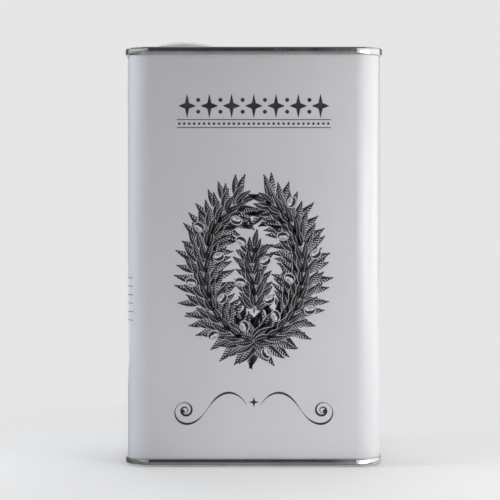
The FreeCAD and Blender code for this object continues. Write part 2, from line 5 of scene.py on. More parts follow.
import bpy
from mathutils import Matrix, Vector

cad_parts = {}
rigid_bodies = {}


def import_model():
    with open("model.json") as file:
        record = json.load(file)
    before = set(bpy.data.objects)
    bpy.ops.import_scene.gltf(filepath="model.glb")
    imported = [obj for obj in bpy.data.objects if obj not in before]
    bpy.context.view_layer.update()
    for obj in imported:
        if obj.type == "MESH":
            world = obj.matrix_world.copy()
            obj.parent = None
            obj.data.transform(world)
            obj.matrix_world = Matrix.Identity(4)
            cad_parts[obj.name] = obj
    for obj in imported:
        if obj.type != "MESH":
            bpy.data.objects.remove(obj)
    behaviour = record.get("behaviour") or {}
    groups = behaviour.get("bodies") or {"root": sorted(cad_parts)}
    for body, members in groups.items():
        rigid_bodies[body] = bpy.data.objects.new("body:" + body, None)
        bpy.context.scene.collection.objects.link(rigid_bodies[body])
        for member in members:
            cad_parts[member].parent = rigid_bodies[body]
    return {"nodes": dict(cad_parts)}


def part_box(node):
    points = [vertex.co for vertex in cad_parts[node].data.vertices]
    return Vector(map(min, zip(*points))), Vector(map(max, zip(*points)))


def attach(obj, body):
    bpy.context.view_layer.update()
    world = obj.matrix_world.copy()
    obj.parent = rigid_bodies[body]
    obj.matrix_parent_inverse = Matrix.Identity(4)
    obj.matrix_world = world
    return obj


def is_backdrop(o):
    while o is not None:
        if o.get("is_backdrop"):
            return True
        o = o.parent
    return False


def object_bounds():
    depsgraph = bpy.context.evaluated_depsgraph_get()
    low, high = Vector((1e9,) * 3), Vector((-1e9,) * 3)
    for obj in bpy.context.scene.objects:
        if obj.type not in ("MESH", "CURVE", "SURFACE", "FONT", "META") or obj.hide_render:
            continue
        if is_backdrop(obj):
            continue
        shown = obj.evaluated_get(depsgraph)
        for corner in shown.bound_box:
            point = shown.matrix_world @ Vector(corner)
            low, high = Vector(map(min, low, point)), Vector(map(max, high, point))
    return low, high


# Looks of a one-litre oil tin: white lacquered body, bright tinplate ends, white plastic pull-up spout.
# Everything is in metres in the tin's own frame: origin under the base, front towards -Y, +Z up.
for leftover in list(bpy.data.objects):
    bpy.data.objects.remove(leftover)
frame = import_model()
cad_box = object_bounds()
NODES = frame["nodes"]

# Sizes of the tin that the print and the finishes follow.
SEAM_PROUD = 0.00094
SEAM_HEIGHT = 0.0034
CORNER_RADIUS = 0.0105
seam_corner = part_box("top_end")[1]
HALF_WIDTH = seam_corner.x - SEAM_PROUD
HALF_DEPTH = seam_corner.y - SEAM_PROUD
RIM = seam_corner.z
FRONT_FLAT = 2 * (HALF_WIDTH - CORNER_RADIUS)
SIDE_FLAT = 2 * (HALF_DEPTH - CORNER_RADIUS)
CORNER_ARC = CORNER_RADIUS * math.pi / 2
GIRTH = 2 * (FRONT_FLAT + SIDE_FLAT) + 4 * CORNER_ARC


def add_object(name, data):
    """Puts a mesh, a lamp or a camera into the scene."""
    made = bpy.data.objects.new(name, data)
    bpy.context.scene.collection.objects.link(made)
    return made


def mesh_object(name, points, faces, material):
    mesh = bpy.data.meshes.new(name)
    mesh.from_pydata(points, [], faces)
    mesh.update()
    mesh.materials.append(material)
    return add_object(name, mesh)


# Places on a flat drawing, and evenly spaced values.
def steps(start, end, count):
    """Values from start to end, both included, with as many steps between them as the count."""
    return [start + (end - start) * i / count for i in range(count + 1)]


def row(count, pitch):
    """As many values as the count, a pitch apart, with their middle at zero."""
    return [(i - (count - 1) / 2) * pitch for i in range(count)]


def ahead(spot, turn, distance):
    """The place at a distance from a spot, in the direction of a turn."""
    return spot[0] + distance * math.cos(turn), spot[1] + distance * math.sin(turn)


def between(first, second, share):
    """The place at a share of the way from one spot to another."""
    return first[0] + (second[0] - first[0]) * share, first[1] + (second[1] - first[1]) * share


def heading_of(first, second):
    return math.atan2(second[1] - first[1], second[0] - first[0])


# Flat stretches of the body's outer face, from the front's middle to the right: the length of each,
# where it starts, and the quarter turns up to it. A rounded corner lies between each one and the next.
WALL_STRETCHES = (
    (FRONT_FLAT / 2, (0, -HALF_DEPTH), 0),
    (SIDE_FLAT, (HALF_WIDTH, CORNER_RADIUS - HALF_DEPTH), 1),
    (FRONT_FLAT, (HALF_WIDTH - CORNER_RADIUS, HALF_DEPTH), 2),
    (SIDE_FLAT, (-HALF_WIDTH, HALF_DEPTH - CORNER_RADIUS), 3),
    (FRONT_FLAT / 2, (CORNER_RADIUS - HALF_WIDTH, -HALF_DEPTH), 4),
)


def wall_point(along, height, lift):
    """A point over the body's outer face. Along runs to the right, from the front's middle."""
    way = along % GIRTH
    for length, start, quarters in WALL_STRETCHES:
        turn = quarters * math.pi / 2
        facing = turn - math.pi / 2
        if way <= length:
            return Vector((*ahead(ahead(start, turn, way), facing, lift), height))
        way -= length
        if way <= CORNER_ARC:
            middle = ahead(ahead(start, turn, length), facing, -CORNER_RADIUS)
            return Vector((*ahead(middle, facing + way / CORNER_RADIUS, CORNER_RADIUS + lift), height))
        way -= CORNER_ARC


# Print: films of ink, sunk a little into the lacquer so that they never hang over a facet.
INK_LIFT = 0.00003
INK_LAYER = 0.000012
INK_SINK = 0.00004
INK_STEP = 0.0015
DOT_SIDES = 20
TIP_SHARE = 0.02


class Ink:
    """Collects printed shapes as thin closed solids and makes one piece of them."""

    def __init__(self, along=0.0, height=0.0):
        self.along = along
        self.height = height
        self.lift = INK_LIFT
        self.points = []
        self.faces = []

    def ribbon(self, left, right):
        """A printed strip between two edges that have as many points each."""
        base = len(self.points)
        count = len(left)
        for edge in (left, right):
            for lift in (-INK_SINK, self.lift):
                for u, v in edge:
                    self.points.append(wall_point(self.along + u, self.height + v, lift))
        left_low, left_top, right_low, right_top = (base + count * i for i in range(4))
        for i in range(count - 1):
            for a, b in (
                (left_top, right_top),
                (right_low, left_low),
                (left_low, left_top),
                (right_top, right_low),
            ):
                self.faces.append((a + i, b + i, b + i + 1, a + i + 1))
        end = count - 1
        self.faces.append((left_low, right_low, right_top, left_top))
        self.faces.append((left_low + end, left_top + end, right_top + end, right_low + end))

    def stroke(self, path, widths):
        """A line of changing width along a path."""
        left, right = [], []
        for i, spot in enumerate(path):
            heading = heading_of(path[max(i - 1, 0)], path[min(i + 1, len(path) - 1)])
            left.append(ahead(spot, heading + math.pi / 2, widths[i] / 2))
            right.append(ahead(spot, heading - math.pi / 2, widths[i] / 2))
        self.ribbon(left, right)

    def line(self, start, end, width):
        """A straight rule, cut into short runs so that it follows a corner of the tin."""
        runs = max(1, math.ceil(math.dist(start, end) / INK_STEP))
        path = [between(start, end, share) for share in steps(0, 1, runs)]
        self.stroke(path, [width] * len(path))

    def dot(self, centre, radius, sides=DOT_SIDES):
        """A filled circle, as a ribbon between its two halves."""
        left, right = [], []
        for angle in steps(0, math.pi, sides // 2):
            v = centre[1] - radius * math.cos(angle)
            reach = radius * max(math.sin(angle), TIP_SHARE)
            left.append((centre[0] - reach, v))
            right.append((centre[0] + reach, v))
        self.ribbon(left, right)

    def piece(self, name, material):
        """Makes the printed piece, which rides on the tin."""
        made = mesh_object(name, self.points, self.faces, material)
        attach(made, "tin")


# Node helpers. A mix node for colours takes them at the two places named here, and gives one at the third.
MIX_FIRST = 6
MIX_SECOND = 7
MIX_RESULT = 2
NOISE_ROUGHNESS = 0.55


class Net:
    """The nodes of one material or world, with helpers that add to them."""

    def __init__(self, tree):
        self.nodes = tree.nodes
        self.links = tree.links

    def feed(self, socket, value):
        """Gives a socket a constant, or joins it to the output of another node."""
        if isinstance(value, bpy.types.NodeSocket):
            self.links.new(value, socket)
        elif socket.type == "RGBA":
            socket.default_value = (*value, 1)
        else:
            socket.default_value = value

    def add(self, kind, inputs, **settings):
        """Adds a node with its settings, and feeds its inputs."""
        node = self.nodes.new(kind)
        for setting, value in settings.items():
            setattr(node, setting, value)
        for socket, value in inputs.items():
            self.feed(node.inputs[socket], value)
        return node

    def coords(self, stretch=(1, 1, 1)):
        """The piece's own coordinates, in metres, stretched along its axes."""
        place = self.add("ShaderNodeTexCoord", {}).outputs["Object"]
        return self.add("ShaderNodeMapping", {"Vector": place, "Scale": stretch}).outputs["Vector"]

    def axis(self, vector, axis):
        return self.add("ShaderNodeSeparateXYZ", {"Vector": vector}).outputs[axis]

    def noise(self, vector, scale, detail, roughness=NOISE_ROUGHNESS):
        inputs = {"Vector": vector, "Scale": scale, "Detail": detail, "Roughness": roughness}
        return self.add("ShaderNodeTexNoise", inputs).outputs["Fac"]

    def span(self, value, low, high, to_low=0, to_high=1):
        """Carries a value from one range to another, held at both ends."""
        inputs = {"Value": value, "From Min": low, "From Max": high, "To Min": to_low, "To Max": to_high}
        return self.add("ShaderNodeMapRange", inputs).outputs["Result"]

    def calc(self, operation, *values):
        return self.add("ShaderNodeMath", dict(enumerate(values)), operation=operation).outputs["Value"]

    def blend(self, factor, first, second):
        """Mixes two colours, each a tuple or a socket."""
        inputs = {"Factor": factor, MIX_FIRST: first, MIX_SECOND: second}
        return self.add("ShaderNodeMix", inputs, data_type="RGBA").outputs[MIX_RESULT]

    def bump(self, height, distance, under=None):
        inputs = {"Height": height, "Distance": distance}
        if under is not None:
            inputs["Normal"] = under
        return self.add("ShaderNodeBump", inputs).outputs["Normal"]

    def emission(self, colour):
        return self.add("ShaderNodeEmission", {"Color": colour}).outputs["Emission"]

    def seen_rays(self):
        """One for rays that look at the stage or mirror it, and zero for rays that light the object."""
        rays = self.add("ShaderNodeLightPath", {}).outputs
        seen = self.calc("MAXIMUM", rays["Is Camera Ray"], rays["Is Glossy Ray"])
        return self.calc("MAXIMUM", seen, rays["Is Transmission Ray"])


class Finish(Net):
    """A material, built round its own shader."""

    def __init__(self, name):
        self.material = bpy.data.materials.new(name)
        self.material.use_nodes = True
        super().__init__(self.material.node_tree)
        self.shader = self.nodes["Principled BSDF"]
        self.surface = self.nodes["Material Output"].inputs["Surface"]

    def set(self, socket, value):
        """Sets one of the shader's sockets."""
        self.feed(self.shader.inputs[socket], value)


# Finishes. A noise is a scale, in cells per metre, then a detail and in one case a roughness.
# A spread is the part of a noise's range that a tone runs over.
SOFT_SPREAD = (0.35, 0.65)
WIDE_SPREAD = (0.3, 0.7)

# White stoving lacquer over the body, with the bare margin that is left for the weld.
LACQUER_LIGHT = (0.745, 0.740, 0.775)
LACQUER_DULL = (0.722, 0.717, 0.752)
LACQUER_MOTTLE = (28, 3)
LACQUER_GRAIN = (210, 4)
LACQUER_ROUGHNESS = (0.30, 0.38)
PEEL_NOISE = (900, 2)
PEEL_DEPTH = 0.000012
SAG_NOISE = (18, 1)
SAG_DEPTH = 0.00025
COAT_WEIGHT = 1.0
COAT_ROUGHNESS = 0.15
WELD_MARGIN = 0.0042
WELD_HALF_WIDTH = 0.0006
WELD_REACH_SHARE = 0.96
SCORCH_HALF_WIDTH = 0.0018
MARGIN_NOISE = (160, 3)
MARGIN_WOBBLE = 0.0002
STREAK_NOISE = (1800, 3)
STREAK_STRETCH = (1, 1, 0.02)
TIN_LIGHT = (0.74, 0.74, 0.75)
TIN_DULL = (0.60, 0.60, 0.62)
WELD_BLUE = (0.16, 0.17, 0.21)


def lacquer_colour(finish, place):
    mottle = finish.span(finish.noise(place, *LACQUER_MOTTLE), *SOFT_SPREAD)
    return finish.blend(mottle, LACQUER_LIGHT, LACQUER_DULL)


def lacquer_roughness(finish, place):
    return finish.span(finish.noise(place, *LACQUER_GRAIN), *WIDE_SPREAD, *LACQUER_ROUGHNESS)


def white_lacquer():
    finish = Finish("white_lacquer_finish")
    place = finish.coords()
    across = finish.calc("ABSOLUTE", finish.axis(place, "Y"))
    wobble = finish.span(finish.noise(place, *MARGIN_NOISE), 0, 1, -MARGIN_WOBBLE, MARGIN_WOBBLE)
    near = finish.calc("LESS_THAN", finish.calc("ADD", across, wobble), WELD_MARGIN)
    beside = finish.calc("GREATER_THAN", finish.axis(place, "X"), HALF_WIDTH * WELD_REACH_SHARE)
    bare = finish.calc("MULTIPLY", near, beside)
    streaks = finish.noise(finish.coords(STREAK_STRETCH), *STREAK_NOISE)
    sheet = finish.blend(finish.span(streaks, *WIDE_SPREAD), TIN_LIGHT, TIN_DULL)
    scorch = finish.span(across, WELD_HALF_WIDTH, SCORCH_HALF_WIDTH, 1, 0)
    welded = finish.blend(scorch, sheet, WELD_BLUE)
    finish.set("Base Color", finish.blend(bare, lacquer_colour(finish, place), welded))
    finish.set("Metallic", bare)
    finish.set("Roughness", lacquer_roughness(finish, place))
    peel = finish.bump(finish.noise(place, *PEEL_NOISE), PEEL_DEPTH)
    finish.set("Normal", finish.bump(finish.noise(place, *SAG_NOISE), SAG_DEPTH, peel))
    finish.set("Coat Weight", COAT_WEIGHT)
    finish.set("Coat Roughness", COAT_ROUGHNESS)
    return finish.material


# Bright tinplate: rolled along the sheet, duller on the panels, with a slight crown on the seams' faces.
# A seam's leans are those of its face at the foot and at the top.
TINPLATE_ROUGHNESS = (0.08, 0.16)
TIN_CLOUD = (90, 4)
TIN_TONE_SPREAD = (0.15, 0.38)
TIN_POLISH = (140, 5)
ROLLED_NOISE = (2600, 3)
ROLLED_STRETCH = (0.03, 1, 1)
ROLLED_DEPTH = 0.000006
PANEL_DULLING = 0.30
PANEL_BLEND = 0.0001
TOP_SEAM_LEANS = (math.radians(-10), math.radians(6))
BOTTOM_SEAM_LEANS = (math.radians(-2), math.radians(14))


def panel_dulling(finish, place, top):
    """What a panel adds to the roughness, on its field and past the inner edge of the seam."""
    edge = RIM - SEAM_HEIGHT if top else SEAM_HEIGHT
    blend_end = edge - PANEL_BLEND if top else edge + PANEL_BLEND
    past = finish.span(finish.axis(place, "Z"), edge, blend_end)
    within = [
        finish.calc("COMPARE", finish.axis(place, axis), 0, half - CORNER_RADIUS)
        for axis, half in (("X", HALF_WIDTH), ("Y", HALF_DEPTH))
    ]
    field = finish.calc("MULTIPLY", *within)
    return finish.span(finish.calc("MAXIMUM", past, field), 0, 1, 0, PANEL_DULLING)


def seam_crown(finish, place, top):
    """A height over the seam's face, as a share of its own height, that gives the face its leans."""
    foot = RIM - SEAM_HEIGHT if top else 0
    low, high = (math.tan(lean) for lean in (TOP_SEAM_LEANS if top else BOTTOM_SEAM_LEANS))
    rise = finish.span(finish.axis(place, "Z"), foot, foot + SEAM_HEIGHT)
    straight = finish.calc("MULTIPLY", rise, -low)
    squared = finish.calc("MULTIPLY", rise, rise)
    return finish.calc("MULTIPLY_ADD", squared, (low - high) / 2, straight)


def tinplate(name, top):
    finish = Finish(name)
    place = finish.coords()
    rolled = finish.noise(finish.coords(ROLLED_STRETCH), *ROLLED_NOISE)
    tone = finish.calc("MULTIPLY", rolled, finish.noise(place, *TIN_CLOUD))
    finish.set("Base Color", finish.blend(finish.span(tone, *TIN_TONE_SPREAD), TIN_LIGHT, TIN_DULL))
    finish.set("Metallic", 1.0)
    polish = finish.span(finish.noise(place, *TIN_POLISH), *WIDE_SPREAD, *TINPLATE_ROUGHNESS)
    finish.set("Roughness", finish.calc("ADD", polish, panel_dulling(finish, place, top)))
    leaning = finish.bump(seam_crown(finish, place, top), SEAM_HEIGHT)
    finish.set("Normal", finish.bump(rolled, ROLLED_DEPTH, leaning))
    return finish.material


# Moulded polyethylene of the closure: a light and a dull colour, a roughness, and a share of light inside.
PLASTIC_CLOUD = (260, 4)
PLASTIC_GRAIN = (1500, 3)
PLASTIC_GRAIN_DEPTH = 0.00001
GLOW_RADII = (1.0, 0.95, 0.85)
GLOW_SCALE = 0.003
WHITE_PLASTIC = ((0.95, 0.945, 0.925), (0.92, 0.915, 0.89), (0.34, 0.46), 0.5)
NATURAL_PLASTIC = ((0.85, 0.86, 0.82), (0.78, 0.79, 0.745), (0.28, 0.40), 0.45)


def moulded_plastic(name, light, dull, roughness, glow):
    finish = Finish(name)
    place = finish.coords()
    tone = finish.span(finish.noise(place, *PLASTIC_CLOUD), *SOFT_SPREAD)
    finish.set("Base Color", finish.blend(tone, light, dull))
    grain = finish.noise(place, *PLASTIC_GRAIN)
    finish.set("Roughness", finish.span(grain, *WIDE_SPREAD, *roughness))
    finish.set("Normal", finish.bump(grain, PLASTIC_GRAIN_DEPTH))
    finish.set("Subsurface Weight", glow)
    finish.set("Subsurface Radius", GLOW_RADII)
    finish.set("Subsurface Scale", GLOW_SCALE)
    return finish.material


# Rubbery seals: a light and a dull colour, and a roughness.
SEAL_PORES = (2200, 4)
SEAL_PORE_DEPTH = 0.00003
COMPOUND = ((0.55, 0.50, 0.40), (0.44, 0.40, 0.32), (0.6, 0.8))
GASKET = ((0.62, 0.60, 0.56), (0.52, 0.50, 0.47), (0.55, 0.75))
LINER = ((0.86, 0.86, 0.84), (0.78, 0.78, 0.76), (0.6, 0.8))


def seal(name, light, dull, roughness):
    finish = Finish(name)
    pores = finish.noise(finish.coords(), *SEAL_PORES)
    finish.set("Base Color", finish.blend(finish.span(pores, *SOFT_SPREAD), light, dull))
    finish.set("Roughness", finish.span(pores, *WIDE_SPREAD, *roughness))
    finish.set("Normal", finish.bump(pores, SEAL_PORE_DEPTH))
    return finish.material


# Printing ink: blue-black, thinner and greyer in places as a litho plate lays it.
INK_DARK = (0.010, 0.013, 0.016)
INK_THIN = (0.045, 0.055, 0.060)
INK_LAY = (420, 5, 0.65)
INK_LAY_SPREAD = (0.42, 0.72)
INK_ROUGHNESS = (0.38, 0.5)
INK_TOOTH = (1800, 2)
INK_TOOTH_DEPTH = 0.000006


def printing_ink():
    finish = Finish("printing_ink")
    place = finish.coords()
    lay = finish.noise(place, *INK_LAY)
    finish.set("Base Color", finish.blend(finish.span(lay, *INK_LAY_SPREAD), INK_DARK, INK_THIN))
    finish.set("Roughness", finish.span(lay, *WIDE_SPREAD, *INK_ROUGHNESS))
    finish.set("Normal", finish.bump(finish.noise(place, *INK_TOOTH), INK_TOOTH_DEPTH))
    return finish.material


def white_ground():
    """The lacquer's white again, under leaves and fruit that lie over others."""
    finish = Finish("white_ground")
    place = finish.coords()
    finish.set("Base Color", lacquer_colour(finish, place))
    finish.set("Roughness", lacquer_roughness(finish, place))
    return finish.material


def dress_nodes():
    """Gives every CAD node its finish."""
    plastic = moulded_plastic("white_plastic_finish", *WHITE_PLASTIC)
    compound = seal("compound_finish", *COMPOUND)
    finishes = {
        "body_wall": white_lacquer(),
        "top_end": tinplate("top_tinplate_finish", True),
        "bottom_end": tinplate("bottom_tinplate_finish", False),
        "top_seam_compound": compound,
        "bottom_seam_compound": compound,
        "spout_collar": plastic,
        "collar_gasket": seal("gasket_finish", *GASKET),
        "pull_spout": moulded_plastic("natural_plastic_finish", *NATURAL_PLASTIC),
        "screw_cap": plastic,
        "cap_liner": seal("liner_finish", *LINER),
        "front_pull_ear": plastic,
        "back_pull_ear": plastic,
    }
    for node, finish in finishes.items():
        for slot in NODES[node].material_slots:
            slot.material = finish


# Engraved leaves and fruit for the ornament on the large panels.
LEAF_STEPS = 8
LEAF_END_SHARE = 0.01
LEAF_TIP_POWER = 0.85
LEAF_GROUND = 0.00016
LEAF_RIB_GAP = 0.00012
LEAF_GAP_SHARE = 1 / 3
LEAF_EDGE = 0.00018
LEAF_STROKES = 11
LEAF_STROKE_WIDTHS = (0.00085, 0.000425)
LEAF_STROKE_LEAN_SHARE = 0.09


def set_layer(ink, ground, layer):
    """Lifts the ink of a layer clear of its ground, and both clear of the layers below."""
    ground.lift = INK_LIFT + INK_LAYER * (2 * layer - 1)
    ink.lift = INK_LIFT + INK_LAYER * 2 * layer


def leaf(ink, ground, base, angle, length, half_width, bend, layer):
    """A narrow leaf: one half solid, the other cut in strokes, with the rib left bare between them.

    The ground is a white leaf a little larger, which keeps leaves that lie over one another apart."""
    set_layer(ink, ground, layer)
    headings = steps(angle - bend / 2, angle + bend / 2, LEAF_STEPS)
    rib = [base]
    for turns in zip(headings, headings[1:]):
        rib.append(ahead(rib[-1], sum(turns) / 2, length / LEAF_STEPS))

    def at(share, reach):
        """A point of the leaf at a share of its length, out from the rib to the left by a distance."""
        spot = min(max(share, 0), 1) * LEAF_STEPS
        i = min(int(spot), LEAF_STEPS - 1)
        part = spot - i
        turn = headings[i] + (headings[i + 1] - headings[i]) * part
        return ahead(between(rib[i], rib[i + 1], part), turn + math.pi / 2, reach)

    def breadth(share):
        return half_width * math.sin(math.pi * min(max(share, 0), 1) ** LEAF_TIP_POWER)

    shares = steps(LEAF_END_SHARE, 1 - LEAF_END_SHARE, LEAF_STEPS)
    margins = [breadth(s) + LEAF_GROUND for s in shares]
    ground.ribbon([at(s, m) for s, m in zip(shares, margins)], [at(s, -m) for s, m in zip(shares, margins)])
    gaps = [min(LEAF_RIB_GAP / 2, breadth(s) * LEAF_GAP_SHARE) for s in shares]
    ink.ribbon([at(s, breadth(s)) for s in shares], [at(s, g) for s, g in zip(shares, gaps)])
    inner = [at(s, -max(breadth(s) - LEAF_EDGE, g)) for s, g in zip(shares, gaps)]
    ink.ribbon(inner, [at(s, -breadth(s)) for s in shares])
    for share in steps(0, 1, LEAF_STROKES)[1:-1]:
        tip = share + LEAF_STROKE_LEAN_SHARE
        ink.stroke([at(share, -LEAF_RIB_GAP / 2), at(tip, -breadth(tip))], LEAF_STROKE_WIDTHS)


FRUIT_SIDES = 18
FRUIT_EDGE = 0.00018
FRUIT_GROUND = 0.0003
FRUIT_SHADE_FROM = math.radians(-185)
FRUIT_SHADE_TO = math.radians(25)
FRUIT_SHADE_SHARE = 0.85
FRUIT_HATCH_FROM = math.radians(50)
FRUIT_HATCH_TO = math.radians(130)
FRUIT_HATCH_STEPS = 4
FRUIT_HATCH_SHARES = (0.45, 0.65)
FRUIT_HATCH = 0.0002


def fruit(ink, ground, centre, angle, half_length, half_width):
    """A small oval fruit: an outline, a broad dark crescent, and two fine strokes on its bright side."""

    def at(turn, share):
        along, across = half_length * share * math.cos(turn), half_width * share * math.sin(turn)
        return ahead(ahead(centre, angle, along), angle + math.pi / 2, across)

    around = steps(0, 2 * math.pi, FRUIT_SIDES)
    halves = steps(0, math.pi, FRUIT_SIDES // 2)
    rim_share, edge_share = 1 + FRUIT_GROUND / half_width, 1 - FRUIT_EDGE / half_width
    ground.ribbon([at(t, rim_share) for t in halves], [at(-t, rim_share) for t in halves])
    ink.ribbon([at(t, 1) for t in around], [at(t, edge_share) for t in around])
    shade = steps(FRUIT_SHADE_FROM, FRUIT_SHADE_TO, FRUIT_SIDES)
    depths = [edge_share - FRUIT_SHADE_SHARE * math.sin(t) for t in steps(0, math.pi, FRUIT_SIDES)]
    ink.ribbon([at(t, edge_share) for t in shade], [at(t, d) for t, d in zip(shade, depths)])
    hatch = steps(FRUIT_HATCH_FROM, FRUIT_HATCH_TO, FRUIT_HATCH_STEPS)
    for share in FRUIT_HATCH_SHARES:
        ink.stroke([at(t, share) for t in hatch], [FRUIT_HATCH] * len(hatch))


FRUIT_SPREAD = math.radians(68)
FRUIT_STALK = 0.0040
STALK_WIDTH = 0.0003
FRUIT_HALF_LENGTH = 0.0022
FRUIT_HALF_WIDTH = 0.0017


def drupe(ink, ground, spot, turn, layer):
    """One fruit on a stalk, over the leaves."""
    set_layer(ink, ground, layer)
    ink.stroke([spot, ahead(spot, turn, FRUIT_STALK)], [STALK_WIDTH, STALK_WIDTH])
    centre = ahead(spot, turn, FRUIT_STALK + FRUIT_HALF_LENGTH)
    fruit(ink, ground, centre, turn, FRUIT_HALF_LENGTH, FRUIT_HALF_WIDTH)


TWIG_WIDTH = 0.0007
TWIG_TAPER_SHARE = 0.6
LEAF_SWAY = math.radians(7)
LEAF_BEND = math.radians(30)
LEAF_SIZE_SHARES = (0.88, 1.1)


def stations(path, spacing):
    """Evenly spaced places along a path, each with the path's heading there."""
    left = spacing / 2
    for a, b in zip(path, path[1:]):
        run = math.dist(a, b)
        while left <= run:
            yield between(a, b, left / run), heading_of(a, b)
            left += spacing
        left -= run


def twig(ink, ground, path, rng, ranks, fruit_spacing):
    """A leafy twig with fruit. Its ranks of leaves lie over one another, the first one lowest."""
    ink.lift = INK_LIFT
    ink.stroke(path, steps(TWIG_WIDTH, TWIG_WIDTH * (1 - TWIG_TAPER_SHARE), len(path) - 1))
    for layer, (spread, length, half_width, spacing) in enumerate(ranks):
        for spot, heading in stations(path, spacing):
            for side in (1, -1):
                turn = heading + side * (spread + rng.uniform(-LEAF_SWAY, LEAF_SWAY))
                size = length * rng.uniform(*LEAF_SIZE_SHARES)
                leaf(ink, ground, spot, turn, size, half_width, -side * LEAF_BEND, layer)
    length, half_width = ranks[-1][1:3]
    leaf(ink, ground, path[-1], heading_of(*path[-2:]), length, half_width, 0, len(ranks))
    for k, (spot, heading) in enumerate(stations(path, fruit_spacing)):
        side = 1 if k % 2 else -1
        drupe(ink, ground, spot, heading + side * FRUIT_SPREAD, len(ranks) + 1)


# Wreath of two twigs round an upright sprig.
# A rank of leaves has a spread, and the leaves' length, half width and spacing.
WREATH_HEIGHT = 0.0835
WREATH_HALF_WIDTH = 0.0210
WREATH_HALF_HEIGHT = 0.0300
WREATH_FROM = math.radians(-98)
WREATH_TO = math.radians(76)
WREATH_STEPS = 48
WREATH_RANKS = (
    (math.radians(80), 0.0125, 0.00180, 0.0042),
    (math.radians(54), 0.0115, 0.00165, 0.0044),
    (math.radians(30), 0.0100, 0.00150, 0.0048),
    (math.radians(10), 0.0082, 0.00125, 0.0056),
)
WREATH_FRUIT_SPACING = 0.0105
SPRIG_FOOT = -0.0180
SPRIG_TIP = 0.0095
SPRIG_SWAY = 0.0008
SPRIG_STEPS = 16
SPRIG_RANKS = (
    (math.radians(66), 0.0088, 0.00150, 0.0036),
    (math.radians(42), 0.0086, 0.00140, 0.0038),
    (math.radians(18), 0.0080, 0.00125, 0.0046),
)
SPRIG_FRUIT_SPACING = 0.0078
ORNAMENT_SEED = 11


def wreath(ink, ground):
    rng = random.Random(ORNAMENT_SEED)
    angles = steps(WREATH_FROM, WREATH_TO, WREATH_STEPS)
    for side in (1, -1):
        path = [(side * WREATH_HALF_WIDTH * math.cos(a), WREATH_HALF_HEIGHT * math.sin(a)) for a in angles]
        twig(ink, ground, path, rng, WREATH_RANKS, WREATH_FRUIT_SPACING)
    sways = [SPRIG_SWAY * math.sin(turn) for turn in steps(0, 2 * math.pi, SPRIG_STEPS)]
    path = list(zip(sways, steps(SPRIG_FOOT, SPRIG_TIP, SPRIG_STEPS)))
    twig(ink, ground, path, rng, SPRIG_RANKS, SPRIG_FRUIT_SPACING)


# Frieze above the wreath: pointed stars and beads over a beaded rule.
FRIEZE_HEIGHT = 0.1530
FRIEZE_PITCH = 0.0094
FRIEZE_STARS = 7
STAR_HALF_WIDTH = 0.0036
STAR_HALF_HEIGHT = 0.0050
STAR_WAIST_SHARE = 0.24
BEAD_RADIUS = 0.00085
RULE_WIDTH = 0.00035
RULE_DROP = 0.0075
RULE_GAP = 0.00168
RULE_BEADS = 31
RULE_BEAD_RADIUS = 0.00055
RULE_BEAD_PITCH = 0.0021
RULE_BEAD_SIDES = 12


def star(ink, centre, half_width, half_height):
    """A four-pointed star with hollow sides, as a ribbon between its left and right edges."""
    waist_u, waist_v = half_width * STAR_WAIST_SHARE, half_height * STAR_WAIST_SHARE
    levels = (
        (-half_height, half_width * TIP_SHARE),
        (-waist_v, waist_u),
        (-half_height * TIP_SHARE, half_width),
        (half_height * TIP_SHARE, half_width),
        (waist_v, waist_u),
        (half_height, half_width * TIP_SHARE),
    )
    left = [(centre[0] - reach, centre[1] + v) for v, reach in levels]
    right = [(centre[0] + reach, centre[1] + v) for v, reach in levels]
    ink.ribbon(left, right)


def frieze(ink):
    for u in row(FRIEZE_STARS, FRIEZE_PITCH):
        star(ink, (u, 0), STAR_HALF_WIDTH, STAR_HALF_HEIGHT)
    for u in row(FRIEZE_STARS - 1, FRIEZE_PITCH):
        for v in (-STAR_HALF_HEIGHT / 2, STAR_HALF_HEIGHT / 2):
            ink.dot((u, v), BEAD_RADIUS)
    for u in row(RULE_BEADS, RULE_BEAD_PITCH):
        ink.dot((u, -RULE_DROP), RULE_BEAD_RADIUS, RULE_BEAD_SIDES)
    half = RULE_BEADS / 2 * RULE_BEAD_PITCH
    for v in (RULE_GAP - RULE_DROP, -RULE_GAP - RULE_DROP):
        ink.line((-half, v), (half, v), RULE_WIDTH)


# Flourish below the wreath: a pair of pen scrolls that meet at a small star.
# A scroll's bends are pairs of a share of its length and the curvature there, in radians per metre.
FLOURISH_HEIGHT = 0.0275
FLOURISH_STAR = 0.0021
SCROLL_START = (0.0030, -0.0010)
SCROLL_HEADING = math.radians(56)
SCROLL_LENGTH = 0.0663
SCROLL_BENDS = ((0, -44), (0.14, -163), (0.32, 0), (0.50, 180), (0.68, 250), (0.85, 456), (1, 980))
SCROLL_STEPS = 110
SCROLL_THIN = 0.00022
SCROLL_THICK = 0.00095
SCROLL_SWELLS = 3


def bend_at(share):
    """The scroll's curvature at a share of its length."""
    for (low, first), (high, second) in zip(SCROLL_BENDS, SCROLL_BENDS[1:]):
        if share <= high:
            return first + (second - first) * (share - low) / (high - low)


def scroll_path():
    """The right-hand scroll, drawn by turning its heading a little at every step."""
    path, heading = [SCROLL_START], SCROLL_HEADING
    step = SCROLL_LENGTH / SCROLL_STEPS
    for i in range(SCROLL_STEPS):
        turn = bend_at((i + 0.5) / SCROLL_STEPS) * step
        path.append(ahead(path[-1], heading + turn / 2, step))
        heading += turn
    return path


